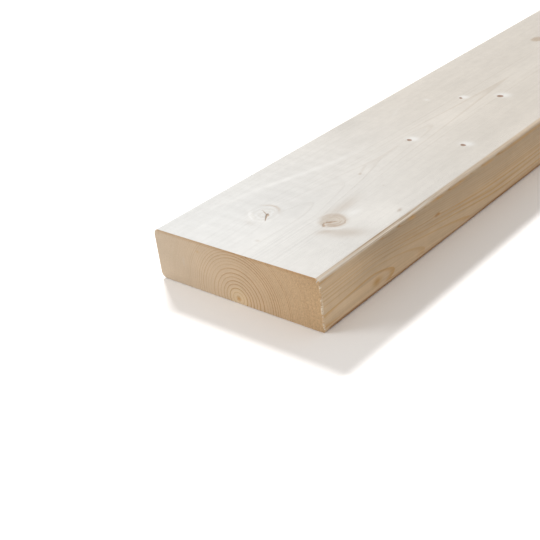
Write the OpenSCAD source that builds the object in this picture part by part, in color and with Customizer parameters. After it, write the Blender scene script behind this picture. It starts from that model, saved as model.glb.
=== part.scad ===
// Planed softwood plank: one solid length of timber with rounded long edges and square-sawn ends.
// It lies on a wide face, with its length along X, its width along Y and its thickness along Z.
// The origin is the middle of the underside.

/* [Plank] */
// Length from one sawn end to the other
plank_length = 1800; // [300:100:6000]
// Width across the wide faces
plank_width = 170; // [70:5:300]
// Thickness between the wide faces
plank_thickness = 45; // [20:1:100]

/* [Edges] */
// Radius of the round planed onto each of the four long edges
edge_radius = 5; // [1:0.5:9]

/* [Hidden] */
$fn = 96;
// Pale planed spruce
wood_colour = [0.90, 0.81, 0.66];
// Distance of an edge round's centre from the middle of the width
round_offset_y = plank_width / 2 - edge_radius;
// Heights of the lower and the upper edge rounds' centres above the underside
round_heights = [edge_radius, plank_thickness - edge_radius];

// Cross-section of the stock, standing on its wide lower side
module planed_section() {
    union() {
        // Full height between the rounds, which makes the two wide faces
        translate([-round_offset_y, 0])
            square([2 * round_offset_y, plank_thickness]);
        // Full width between the rounds, which makes the two narrow faces
        translate([-plank_width / 2, edge_radius])
            square([plank_width, plank_thickness - 2 * edge_radius]);
        for (y = [-round_offset_y, round_offset_y], z = round_heights)
            translate([y, z])
                circle(r = edge_radius);
    }
}

// The whole plank: the section run straight from end to end, sawn square
module plank() {
    color(wood_colour)
        translate([-plank_length / 2, 0, 0])
            rotate([90, 0, 90])
                linear_extrude(height = plank_length)
                    planed_section();
}

plank();
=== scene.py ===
"""Looks of a planed spruce plank: its timber mesh, growth rings and knots, and a white studio round it."""

import logging
import math
from dataclasses import dataclass
from enum import Enum
from typing import Any

import bmesh
import bpy
import numpy as np
from mathutils import Matrix, Vector
from mathutils.geometry import delaunay_2d_cdt


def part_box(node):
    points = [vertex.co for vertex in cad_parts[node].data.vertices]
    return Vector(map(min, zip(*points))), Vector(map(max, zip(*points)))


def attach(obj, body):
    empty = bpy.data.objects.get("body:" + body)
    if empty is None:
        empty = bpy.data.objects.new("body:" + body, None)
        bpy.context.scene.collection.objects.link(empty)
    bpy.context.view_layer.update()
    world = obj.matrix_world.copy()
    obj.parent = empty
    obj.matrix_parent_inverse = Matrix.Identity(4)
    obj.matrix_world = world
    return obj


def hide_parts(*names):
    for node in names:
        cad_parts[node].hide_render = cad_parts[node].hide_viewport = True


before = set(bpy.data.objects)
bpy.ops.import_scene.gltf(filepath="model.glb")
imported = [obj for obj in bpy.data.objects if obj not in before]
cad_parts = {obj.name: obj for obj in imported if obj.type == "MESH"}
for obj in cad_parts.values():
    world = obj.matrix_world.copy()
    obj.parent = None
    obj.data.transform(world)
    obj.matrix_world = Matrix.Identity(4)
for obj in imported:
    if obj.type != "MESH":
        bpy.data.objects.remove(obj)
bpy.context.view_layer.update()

# Sizes and places on the plank are in millimetres, with X measured from its near end
MM = 0.001
# How near to a sawn end a place counts as on it
TOUCH = 0.01
# Gaps below which two points of the section are one, and a length counts as none
SAME_POINT = 1e-4
TINY = 1e-6
# How deep under a face its cracks, its marks and its broad shades count
CRACK_SKIN = 1.0
MARK_SKIN = 2.0
SHADE_SKIN = 3.0
# Sides of the picture and of the baked map, in pixels
IMAGE_SIDE = 540
MAP_SIDE = 1024
SENSOR_WIDTH = 36.0
LOG = logging.getLogger("plank")

Array = np.ndarray
Socket = bpy.types.NodeSocket
Colour = tuple[float, float, float]
Bend = tuple[float, float, float]
Span = tuple[float, float]
Line = tuple[tuple[float, float], ...]


def smooth_step(low: float, high: float, value: Array) -> Array:
    """Rises smoothly from 0 where value is low to 1 where it is high, which may be the smaller one."""
    share = np.clip((value - low) / (high - low), 0.0, 1.0)
    return share * share * (3.0 - 2.0 * share)


def soft_ramp(value: Array, width: float) -> Array:
    """Stays near 0 below 0 and follows value above it, with a bend of that half width."""
    return width * np.logaddexp(0.0, value / width)


def line_distance(spots: Array, line: Line) -> tuple[Array, Array]:
    """Measures how far places on a face lie from a bent line.

    Args:
        spots: Distances along and across, one place per row.
        line: The line's points.

    Returns:
        The distance to the line, and how far along it the nearest point is, from 0 to 1.
    """
    best = np.full(len(spots), np.inf)
    share = np.zeros(len(spots))
    corners = np.array(line, dtype=float)
    lengths = np.linalg.norm(np.diff(corners, axis=0), axis=1)
    starts = np.concatenate([[0.0], np.cumsum(lengths)])
    for start, end, length, before in zip(corners[:-1], corners[1:], lengths, starts):
        run = (end - start) / length
        step = np.clip((spots - start) @ run, 0.0, length)
        gap = np.linalg.norm(spots - start - step[:, None] * run, axis=1)
        nearer = gap < best
        best = np.where(nearer, gap, best)
        share = np.where(nearer, (before + step) / starts[-1], share)
    return best, share


class Face(Enum):
    """The four long faces of the plank, its near end, and the round of its upper front edge."""

    END = "end"
    ROUND = "round"
    TOP = "top"
    UNDERSIDE = "underside"
    FRONT = "front"
    BACK = "back"


class KnotKind(Enum):
    """How a knot looks where the planer has cut through it. The value is its darkness."""

    SOUND = 0.0
    BROWN = 0.5
    PIN = 1.0


@dataclass(frozen=True)
class Knot:
    """A branch cut through at a long face.

    Attributes:
        face: Face that it shows on.
        along: Distance of its centre from the near end.
        across: Its Y on a wide face, or its Z on a narrow one.
        radius: Half its width across the grain.
        stretch: Its length along the grain over its width.
        kind: How it looks.
        swell: How far the growth rings bend round it.
        turn: How far it leans from across the grain towards +X, in degrees.
    """

    face: Face
    along: float
    across: float
    radius: float
    stretch: float
    kind: KnotKind
    swell: float = 0.8
    turn: float = 0.0


@dataclass(frozen=True)
class Check:
    """A drying crack or a dark vein, along a bent line on the top face.

    Attributes:
        points: Distances along and across, from its root to its tip.
        width: Half its width at the root.
        depth: Its depth at the root.
        dark: How dark it is, from 0 to 1.
    """

    points: Line
    width: float
    depth: float
    dark: float = 1.0


@dataclass(frozen=True)
class Stroke:
    """A soft pale or dark mark drawn along a line on a face.

    Attributes:
        face: Face that it is on.
        points: Distances along and across.
        width: Half its width.
        tone: Lighter above 0, darker below.
    """

    face: Face
    points: Line
    width: float
    tone: float


@dataclass(frozen=True)
class Patch:
    """A broad soft patch, of lighter or darker wood or of bent growth rings.

    Attributes:
        along: Distance of its centre from the near end.
        across: Its Y on the upper face.
        half_along: Half its length.
        half_across: Half its width.
        gain: Change of the wood's light, or how far the rings bend outwards.
    """

    along: float
    across: float
    half_along: float
    half_across: float
    gain: float

    def at(self, spots: Array) -> Array:
        """Works out the patch.

        Args:
            spots: Distances along and across, one place per row.

        Returns:
            Its gain at each place.
        """
        gap_x = (spots[:, 0] - self.along) / self.half_along
        gap_y = (spots[:, 1] - self.across) / self.half_across
        return self.gain * np.exp(-(gap_x ** 2 + gap_y ** 2))


TOP_KNOTS = (
    Knot(Face.TOP, 62, 19.5, 14.5, 1.05, KnotKind.SOUND, 2.0),
    Knot(Face.TOP, 78.3, -37.6, 11.2, 1.02, KnotKind.BROWN, 2.4),
    Knot(Face.TOP, 240, -1.3, 2.9, 0.72, KnotKind.PIN, turn=20),
    Knot(Face.TOP, 250, -51, 3.1, 0.72, KnotKind.PIN, turn=15),
    Knot(Face.TOP, 351, 12, 2.4, 0.66, KnotKind.PIN, turn=35),
    Knot(Face.TOP, 370, -20.5, 3.4, 0.85, KnotKind.PIN, turn=15),
    Knot(Face.TOP, 545, 30, 7, 1.2, KnotKind.BROWN, 2.0),
    Knot(Face.TOP, 566, -26, 9, 1.15, KnotKind.SOUND, 2.2),
    Knot(Face.TOP, 742, 8, 2.6, 0.8, KnotKind.PIN, turn=10),
    Knot(Face.TOP, 790, -58, 2.8, 0.8, KnotKind.PIN, turn=20),
    Knot(Face.TOP, 1012, -12, 10, 1.15, KnotKind.BROWN, 2.4),
    Knot(Face.TOP, 1030, 49, 7, 1.25, KnotKind.SOUND, 2.0),
    Knot(Face.TOP, 1215, 24, 2.6, 0.8, KnotKind.PIN, turn=25),
    Knot(Face.TOP, 1276, -44, 2.9, 0.8, KnotKind.PIN, turn=12),
    Knot(Face.TOP, 1498, 15, 9, 1.2, KnotKind.SOUND, 2.2),
    Knot(Face.TOP, 1517, -41, 8, 1.2, KnotKind.BROWN, 2.0),
    Knot(Face.TOP, 1690, -5, 2.7, 0.8, KnotKind.PIN, turn=18),
)
FRONT_KNOTS = (
    Knot(Face.FRONT, 152, 28, 1.5, 2.4, KnotKind.BROWN, 0.3),
    Knot(Face.FRONT, 585, 17, 6, 1.5, KnotKind.SOUND, 1.2),
    Knot(Face.FRONT, 1045, 25, 6.5, 1.6, KnotKind.BROWN, 1.2),
    Knot(Face.FRONT, 1420, 14, 2.2, 1.4, KnotKind.PIN, 0.5),
)
BACK_KNOTS = (
    Knot(Face.BACK, 84, 22, 6, 1.7, KnotKind.SOUND, 1.2),
    Knot(Face.BACK, 560, 26, 5.5, 1.6, KnotKind.BROWN, 1.2),
    Knot(Face.BACK, 1020, 18, 6.5, 1.6, KnotKind.SOUND, 1.2),
    Knot(Face.BACK, 1510, 24, 6, 1.6, KnotKind.BROWN, 1.2),
)
UNDERSIDE_KNOTS = (
    Knot(Face.UNDERSIDE, 72, 12, 6, 1.5, KnotKind.BROWN, 1.4),
    Knot(Face.UNDERSIDE, 551, -14, 7, 1.5, KnotKind.SOUND, 1.4),
    Knot(Face.UNDERSIDE, 1022, 20, 7, 1.6, KnotKind.BROWN, 1.4),
    Knot(Face.UNDERSIDE, 1504, -9, 6.5, 1.5, KnotKind.SOUND, 1.4),
)
KNOTS = TOP_KNOTS + FRONT_KNOTS + BACK_KNOTS + UNDERSIDE_KNOTS
# The pale wood beside a pin knot: its shift along and across, its shape, its size in knot radii, its tone
PIN_HALO_SHIFT = (3.5, -1.5)
PIN_HALO_SHAPE = 0.8
PIN_HALO_RADII = 1.9
PIN_HALO_TONE = 0.95
# The torn spots of the near end's front edge: height, half height and strength
FLAKES = ((37.5, 1.8, 1.0), (22.0, 8.0, 0.8), (5.0, 3.5, 0.7))
CHECKS = (
    Check(((63.0, 17.2), (60.5, 15.9), (57.0, 13.6), (53.0, 10.9)), 0.85, 0.5),
    Check(((62.4, 16.8), (63.6, 19.4), (65.2, 22.4), (67.2, 26.2)), 0.55, 0.25, 0.85),
    Check(((61.6, 15.2), (63.0, 16.0), (64.6, 17.8)), 0.85, 0.3, 0.9),
    Check(((87.8, -34.0), (86.6, -30.0), (83.8, -27.2), (79.5, -26.0)), 2.3, 0.0, 0.30),
    Check(((87.8, -34.0), (88.0, -38.0), (86.2, -42.5), (83.0, -46.0)), 2.3, 0.0, 0.30),
    Check(((72.2, -44.4), (75.5, -47.0), (79.5, -48.0), (83.0, -46.0)), 1.7, 0.1, 0.55),
    Check(((72.2, -44.4), (70.2, -41.5), (69.0, -38.2)), 1.5, 0.1, 0.7),
    Check(((68.0, -36.6), (69.4, -34.8), (72.2, -33.6)), 1.3, 0.2, 0.9),
    Check(((75.6, -37.2), (74.4, -35.4), (72.0, -34.4)), 1.3, 0.25, 1.0),
    Check(((75.6, -37.2), (78.2, -39.6), (79.4, -41.0)), 1.3, 0.25, 0.9),
    Check(((71.6, -38.0), (73.4, -41.8), (77.4, -44.4), (82.0, -43.4)), 1.0, 0.0, 0.55),
    Check(((82.0, -31.0), (84.6, -35.0), (83.6, -40.0)), 0.9, 0.0, 0.25),
)
STROKES = (
    Stroke(Face.TOP, ((54, 69), (67, 61), (100, 55), (125, 46), (150, 37.5), (175, 31), (208, 25.5)),
           4.0, 0.52),
    Stroke(Face.TOP, ((114.5, -73.8), (120.5, -72.6)), 1.8, -0.8),
    Stroke(Face.TOP, ((277, 44), (290, 48), (305, 55)), 2.2, 0.3),
    Stroke(Face.TOP, ((333.5, 37), (334.5, 44)), 2.4, 0.6),
    Stroke(Face.TOP, ((158, -5), (161, -4)), 1.4, -0.85),
    Stroke(Face.TOP, ((161, -4), (178, 2.5)), 1.6, -0.40),
    Stroke(Face.TOP, ((24, -4), (24.2, -8.5)), 1.6, -0.55),
    Stroke(Face.TOP, ((149, -36), (150, -35.6)), 1.0, -0.7),
    Stroke(Face.TOP, ((78, -26), (95, -30), (108, -30), (124, -27)), 7.5, -0.52),
    Stroke(Face.TOP, ((59, -42), (62, -50), (67, -59), (75, -73)), 9.5, -0.60),
    Stroke(Face.TOP, ((55, -39.5), (61, -43), (64, -47)), 3.0, -0.40),
    Stroke(Face.TOP, ((73.5, 33), (77.2, 26), (77.2, 20), (74.5, 14.5), (68, 9.5)), 1.5, -0.75),
    Stroke(Face.TOP, ((73.6, 24), (73.2, 17.5), (69.5, 12.5)), 1.3, 0.5),
    Stroke(Face.TOP, ((43, 13), (44, 20), (47, 27)), 3.0, -0.30),
    Stroke(Face.TOP, ((50, 23), (55, 28), (62, 36)), 2.6, 0.55),
    Stroke(Face.TOP, ((49, 13), (53, 8.5), (58, 7)), 2.6, 0.45),
    Stroke(Face.TOP, ((66, -30), (70, -26.5), (74, -25)), 2.0, 0.45),
    Stroke(Face.TOP, ((65.5, -41), (67, -45), (71, -50), (77, -53)), 1.5, 0.6),
    Stroke(Face.TOP, ((91, -40), (97, -43), (105, -45)), 4.6, 0.7),
    Stroke(Face.END, ((38.5, 36), (35.5, 36)), 1.7, -0.45),
    Stroke(Face.END, ((55, 18), (55.4, 22), (54.6, 27)), 1.0, 0.35),
    Stroke(Face.FRONT, ((61, 9.4), (66, 9.8), (71.5, 10.4)), 3.6, -0.85),
    Stroke(Face.FRONT, ((146, 28.4), (156, 28.0)), 1.2, -0.6),
    Stroke(Face.FRONT, ((153.4, 28.3), (155.6, 27.2)), 0.9, -1.0),
    Stroke(Face.FRONT, ((140, 24), (180, 20.5), (215, 16), (240, 13.4), (290, 12.5), (340, 13.5)),
           0.8, -0.75),
    Stroke(Face.FRONT, ((250, 3.5), (290, 4), (340, 5)), 1.6, -0.5),
    Stroke(Face.FRONT, ((262, 9), (330, 9.5)), 2.5, 0.3),
    Stroke(Face.FRONT, ((8, 12.5), (38, 12.5)), 5.0, 0.28),
    Stroke(Face.FRONT, ((90, 32), (112, 27), (140, 18)), 6.0, -0.25),
    Stroke(Face.FRONT, ((155, 26), (210, 20.6), (245, 19), (300, 17.5), (350, 17.5)), 0.7, -0.6),
    Stroke(Face.FRONT, ((200, 27), (240, 24.5), (320, 23), (370, 23.5)), 0.7, -0.45),
    Stroke(Face.FRONT, ((180, 23.5), (230, 22), (300, 21.5), (360, 21.5)), 0.7, -0.55),
    Stroke(Face.FRONT, ((111, 41.8), (122, 40.8)), 1.6, -0.75),
    Stroke(Face.FRONT, ((144, 42), (165, 41.4)), 1.3, -0.6),
    Stroke(Face.FRONT, ((167, 41.3), (202, 41.8)), 1.5, -0.6),
    Stroke(Face.FRONT, ((222, 41.5), (244, 41)), 1.5, -0.65),
    Stroke(Face.FRONT, ((248, 41.5), (290, 41.2), (340, 41.5)), 1.6, -0.6),
    # On the round of the upper front edge the pale lines are painted highlights along the cutter's ridges
    # and the dark lines painted shade along its facets.
    Stroke(Face.ROUND, ((32, 1.7), (58, 1.6), (90, 1.6), (118, 1.8)), 0.55, -0.75),
    Stroke(Face.ROUND, ((-20, 3.3), (12, 3.3), (42, 3.3), (68, 3.5)), 0.50, 1.25),
    Stroke(Face.ROUND, ((56, 3.5), (82, 3.5), (104, 3.7)), 0.42, 0.9),
    Stroke(Face.ROUND, ((98, 4.0), (120, 3.2), (144, 2.2)), 0.50, 1.25),
    Stroke(Face.ROUND, ((120, 4.1), (138, 3.4), (150, 3.0)), 0.45, 1.0),
    Stroke(Face.ROUND, ((102, 3.0), (128, 2.3), (144, 1.5)), 0.45, -1.0),
    Stroke(Face.ROUND, ((152, 2.6), (166, 1.9), (179, 1.3)), 0.35, -0.5),
    Stroke(Face.ROUND, ((-10, 2.4), (16, 2.4), (34, 2.5)), 0.5, -0.4),
    Stroke(Face.ROUND, ((2, 4.4), (14, 4.3), (24, 4.5)), 0.35, 0.5),
    Stroke(Face.ROUND, ((43, 4.7), (80, 4.7), (118, 4.6)), 0.40, 0.75),
    Stroke(Face.ROUND, ((40, 4.1), (70, 4.15), (106, 4.3)), 0.40, -0.85),
    Stroke(Face.ROUND, ((190, 2.2), (230, 2.1), (300, 2.2)), 0.7, -0.36),
)
SHADES = (
    Patch(95, 0, 35, 22, -0.05),
    Patch(106, -58, 28, 16, 0.11),
    Patch(30, -10, 35, 12, 0.03),
    Patch(95, 45, 45, 16, -0.055),
    Patch(82, 10, 20, 18, -0.045),
    Patch(96, -24, 14, 12, -0.03),
    Patch(106, -73, 18, 12, 0.07),
    Patch(5, -72, 24, 20, 0.05),
    Patch(244, 75, 18, 16, -0.08),
    Patch(308, -5, 28, 16, 0.08),
    Patch(300, -78, 55, 10, 0.04),
    Patch(256, -26, 20, 20, 0.035),
    Patch(354, -17, 24, 16, 0.05),
)
# Where the fibres of the upper face stand out most
STREAKS = Patch(32, -28, 40, 16, 0.15)
# The layers of wood that bulge over the branch of the first pin knot
RING_BENDS = (
    Patch(236, 3, 40, 9, 1.5),
)


@dataclass(frozen=True)
class Trunk:
    """The tree that the plank was sawn from: where its pith runs and how its rings taper.

    A bend is a place along the plank, the half width of the bend and the change of slope there.
    A span is where a change starts and where it ends.

    Attributes:
        pith_y: Y of the pith at the near end.
        pith_z: Z of the pith there.
        front_z: Z of the rings' centre for the outer wood at the front edge.
        front_fall: How far that centre falls over the first stretch.
        front_start: How far out that outer wood is shifted at the near end.
        front_slope: Taper of that outer wood at the near end.
        front_bends: Where that taper changes.
        top_slope: Taper of the wood under the upper face at the near end.
        top_bends: Where that taper changes.
        sway: How far the pith swings sideways further on.
        sway_length: Length of one swing.
        rise: How far the pith climbs there.
        rise_length: Length of one climb and fall.
        edge_span: Y over which the outer wood of an edge takes over.
        beyond_span: Distances along which the swing and the climb come in.
        fall_span: Distances along which the front edge's centre falls.
        top_span: Distances along which the upper face's taper fades.
        layer_span: Z over which it comes in.
        back_share: Share of it that the back edge has.
        ripple: How far the rings ripple further on.
        ripple_length: Length of one ripple.
        ripple_span: Distances along which the ripples come in.
    """

    pith_y: float = -1.6
    pith_z: float = 4.75
    front_z: float = 9.5
    front_fall: float = 9.0
    front_start: float = -0.073
    front_slope: float = -0.0056
    front_bends: tuple[Bend, ...] = ((62, 4, 0.0246), (128, 8, -0.0091), (237, 14, -0.0099))
    top_slope: float = 0.0077
    top_bends: tuple[Bend, ...] = (
        (95, 8, 0.0453), (187, 15, -0.028), (267, 20, -0.0095), (380, 30, -0.0155))
    sway: float = 4.0
    sway_length: float = 1700.0
    rise: float = 4.0
    rise_length: float = 1500.0
    edge_span: Span = (40.0, 78.0)
    beyond_span: Span = (450.0, 800.0)
    fall_span: Span = (60.0, 280.0)
    top_span: Span = (1500.0, 500.0)
    layer_span: Span = (8.0, 36.0)
    back_share: float = 0.3
    ripple: float = 1.5
    ripple_length: float = 430.0
    ripple_span: Span = (420.0, 620.0)

    def place(self, points: Array) -> Array:
        """Gives places in the tree, measured from its pith.

        Args:
            points: Places in the plank, one per row.

        Returns:
            Three columns: along the tree, and the two offsets from the pith.
        """
        along, y, z = points.T
        beyond = smooth_step(*self.beyond_span, along)
        front = smooth_step(*self.edge_span, -y)
        pith_y = self.pith_y + self.sway * np.sin(2 * np.pi * along / self.sway_length) * beyond
        climb = 0.5 * self.rise * (1 - np.cos(2 * np.pi * along / self.rise_length)) * beyond
        centre = self.front_z - self.front_fall * smooth_step(*self.fall_span, along)
        pith_z = self.pith_z + (centre - self.pith_z) * front + climb
        return np.stack([along, y - pith_y, z - pith_z], axis=1)

    def lift(self, points: Array) -> Array:
        """Gives how much further out in the rings a place is than its distance from the pith says.

        Args:
            points: Places in the plank, one per row.

        Returns:
            The added ring radius.
        """
        along, y, z = points.T
        front = smooth_step(*self.edge_span, -y)
        back = smooth_step(*self.edge_span, y)
        outer = self.front_start + self.front_slope * along
        for start, width, change in self.front_bends:
            outer = outer + change * soft_ramp(along - start, width)
        upper = self.top_slope * along
        for start, width, change in self.top_bends:
            upper = upper + change * soft_ramp(along - start, width)
        upper = upper * smooth_step(*self.top_span, along)
        lift = upper * smooth_step(*self.layer_span, z) * (1 - front) * (1 - back)
        lift = lift + outer * front + self.back_share * upper * back
        ripple = self.ripple * np.sin(2 * np.pi * along / self.ripple_length)
        return lift + ripple * smooth_step(*self.ripple_span, along)


class SmoothNoise:
    """A smooth seeded noise made of a few waves."""

    def __init__(self, seed: int, wavelength: tuple[float, float, float], waves: int) -> None:
        """Draws the waves.

        Args:
            seed: Seed of the draw.
            wavelength: Typical wavelength along X, Y and Z.
            waves: How many waves are summed.
        """
        draw = np.random.default_rng(seed)
        self.turns = draw.normal(size=(waves, 3)) / np.array(wavelength)
        self.starts = draw.uniform(0, 2 * np.pi, waves)

    def at(self, points: Array) -> Array:
        """Gives the noise at each place, one per row, mostly between -1 and 1."""
        waves = np.sin(2 * np.pi * points @ self.turns.T + self.starts)
        return waves.sum(axis=1) / math.sqrt(len(self.starts))


class NodeSheet:
    """Lays out the nodes of one material and joins them."""

    def __init__(self, name: str) -> None:
        """Starts a material with an empty sheet.

        Args:
            name: Name of the material.
        """
        self.material = bpy.data.materials.new(name)
        self.material.use_nodes = True
        self.tree = self.material.node_tree
        self.tree.nodes.clear()

    def node(self, kind: str, **settings: Any) -> bpy.types.Node:
        """Adds a node.

        Args:
            kind: Its type.
            **settings: Its properties.

        Returns:
            The node.
        """
        made = self.tree.nodes.new(kind)
        for key, value in settings.items():
            setattr(made, key, value)
        return made

    def feed(self, socket: Socket, value: Any) -> None:
        """Joins a socket to an output, or sets its number.

        Args:
            socket: Input socket.
            value: An output socket, a number or a colour.
        """
        if isinstance(value, bpy.types.NodeSocket):
            self.tree.links.new(value, socket)
        elif isinstance(value, tuple) and len(value) == 3 and socket.type == "RGBA":
            socket.default_value = (*value, 1.0)
        else:
            socket.default_value = value

    def math(self, operation: str, *values: Any) -> Socket:
        """Adds a math node.

        Args:
            operation: Its operation.
            *values: Its inputs.

        Returns:
            Its result.
        """
        made = self.node("ShaderNodeMath", operation=operation)
        for socket, value in zip(made.inputs, values):
            self.feed(socket, value)
        return made.outputs[0]

    def step(self, value: Socket, low: float, high: float, first: float = 0.0, last: float = 1.0) -> Socket:
        """Adds a smooth rise from one value to another.

        Args:
            value: What it looks up.
            low: Where the rise starts.
            high: Where the rise ends.
            first: Result below low.
            last: Result above high.

        Returns:
            The risen value.
        """
        made = self.node("ShaderNodeMapRange", interpolation_type="SMOOTHSTEP")
        for socket, item in zip(made.inputs, (value, low, high, first, last)):
            self.feed(socket, item)
        return made.outputs[0]

    def mix(self, share: Any, first: Any, second: Any, blend: str = "MIX") -> Socket:
        """Mixes two colours.

        Args:
            share: Share of the second colour.
            first: First colour.
            second: Second colour.
            blend: How they mix.

        Returns:
            The mixed colour.
        """
        made = self.node("ShaderNodeMix", data_type="RGBA", blend_type=blend)
        # Inputs 6 and 7 and output 2 are the node's colours
        self.feed(made.inputs[0], share)
        self.feed(made.inputs[6], first)
        self.feed(made.inputs[7], second)
        return made.outputs[2]

    def tinted(self, share: Any, colour: Socket, tint: Any) -> Socket:
        """Multiplies a colour by a tint, as far as the share says."""
        return self.mix(share, colour, tint, "MULTIPLY")

    def vary(self, light: Any, noise: Socket, amount: Any) -> Socket:
        """Varies a factor on the light up and down by an amount of a noise, which is about 0 to 1."""
        change = self.math("MULTIPLY_ADD", self.math("SUBTRACT", noise, 0.5), amount, 1.0)
        return self.math("MULTIPLY", light, change)

    def noise(self, place: Socket, scale: tuple[float, float, float], detail: float = 2.0,
              roughness: float = 0.5) -> Socket:
        """Adds a noise with its own scale along each axis.

        Args:
            place: Where it is looked up.
            scale: Cells per millimetre along X, Y and Z.
            detail: How many finer layers it has.
            roughness: How strong the finer layers are.

        Returns:
            The noise, about 0 to 1.
        """
        stretched = self.node("ShaderNodeVectorMath", operation="MULTIPLY")
        self.feed(stretched.inputs[0], place)
        stretched.inputs[1].default_value = scale
        made = self.node("ShaderNodeTexNoise", noise_dimensions="3D")
        self.feed(made.inputs["Vector"], stretched.outputs[0])
        made.inputs["Scale"].default_value = 1.0
        made.inputs["Detail"].default_value = detail
        made.inputs["Roughness"].default_value = roughness
        return made.outputs[0]

    def attribute(self, name: str, output: str = "Fac") -> Socket:
        """Reads a field that the mesh carries, with output Fac for a number or Vector for a place."""
        return self.node("ShaderNodeAttribute", attribute_name=name).outputs[output]

    def surface(self, colour: Any, rough: Any, gloss: float,
                normal: Socket | None = None) -> bpy.types.Material:
        """Ends the sheet with the surface shader.

        Args:
            colour: Base colour.
            rough: Roughness.
            gloss: Specular level.
            normal: Direction of the fine relief, if there is any.

        Returns:
            The finished material.
        """
        shader = self.node("ShaderNodeBsdfPrincipled")
        shader.inputs["Specular IOR Level"].default_value = gloss
        self.feed(shader.inputs["Base Color"], colour)
        self.feed(shader.inputs["Roughness"], rough)
        if normal is not None:
            self.feed(shader.inputs["Normal"], normal)
        output = self.node("ShaderNodeOutputMaterial")
        self.feed(output.inputs["Surface"], shader.outputs[0])
        return self.material


@dataclass(frozen=True)
class GrowthRings:
    """The law that turns a distance from the pith into a count of years.

    Attributes:
        start: Years at the pith.
        slope: Years per millimetre near the pith.
        bend: Change of that with the square of the distance.
        crowd: Crowding of the outer rings, with its cube.
        waver: How far the rings waver, in years.
        outer: Radius where the rings crowd further.
        outer_crowd: How much they do, with the square of the distance beyond it.
        spells: Slow and quick spells: radius where each starts and ends, and the years gained.
        first_year: Count of years that the rings' strengths start from.
        turn: Share of a year when its wood starts to darken.
        full: Share of a year when it is darkest.
        stop: Share of a year when the dark wood ends.
        sway_scale: Cells per millimetre of the noise that the rings waver with.
    """

    start: float = 0.39
    slope: float = 0.301
    bend: float = -0.00125
    crowd: float = 0.00004726
    waver: float = 0.3
    outer: float = 70.0
    outer_crowd: float = 0.009
    spells: tuple[tuple[float, float, float], ...] = ()
    first_year: float = 0.0
    turn: float = 0.70
    full: float = 0.92
    stop: float = 0.95
    sway_scale: tuple[float, float, float] = (0.005, 0.055, 0.055)

    def draw(self, sheet: NodeSheet) -> dict[str, Socket]:
        """Lays out the nodes that find the ring at each place.

        Args:
            sheet: Sheet to draw on.

        Returns:
            Sockets: place in the tree, radius, share of the year, dark late wood, and a tone for each year.
        """
        place = sheet.attribute("tree_place", "Vector")
        split = sheet.node("ShaderNodeSeparateXYZ")
        sheet.feed(split.inputs[0], place)
        square = sheet.math("MULTIPLY", split.outputs[1], split.outputs[1])
        square = sheet.math("MULTIPLY_ADD", split.outputs[2], split.outputs[2], square)
        radius = sheet.math("ADD", sheet.math("SQRT", square), sheet.attribute("ring_lift"))
        law = sheet.math("MULTIPLY_ADD", radius, self.crowd, self.bend)
        law = sheet.math("MULTIPLY_ADD", radius, law, self.slope)
        years = sheet.math("MULTIPLY_ADD", radius, law, self.start)
        beyond = sheet.math("MAXIMUM", sheet.math("SUBTRACT", radius, self.outer), 0.0)
        crowded = sheet.math("MULTIPLY", sheet.math("MULTIPLY", beyond, beyond), self.outer_crowd)
        years = sheet.math("ADD", years, crowded)
        for start, end, gain in self.spells:
            years = sheet.math("ADD", years, sheet.step(radius, start, end, 0.0, gain))
        sway = sheet.math("SUBTRACT", sheet.noise(place, self.sway_scale, 2.0), 0.5)
        years = sheet.math("MULTIPLY_ADD", sway, self.waver, years)
        phase = sheet.math("FRACT", years)
        year_tone = sheet.node("ShaderNodeTexWhiteNoise", noise_dimensions="1D")
        sheet.feed(year_tone.inputs["W"], sheet.math("ADD", sheet.math("FLOOR", years), self.first_year))
        rise = sheet.step(phase, self.turn, self.full)
        fall = sheet.step(phase, self.stop, 1.0, 1.0, 0.0)
        late = sheet.math("MULTIPLY", rise, fall)
        return {"place": place, "radius": radius, "phase": phase, "late": late, "year": year_tone.outputs[0]}


PLANED_RINGS = GrowthRings()
SAWN_RINGS = GrowthRings(
    start=0.20,
    spells=((13.0, 16.5, 0.14), (22.0, 29.0, -0.45), (42.0, 52.0, 0.3)),
    first_year=161.0,
    turn=0.62,
)


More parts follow.
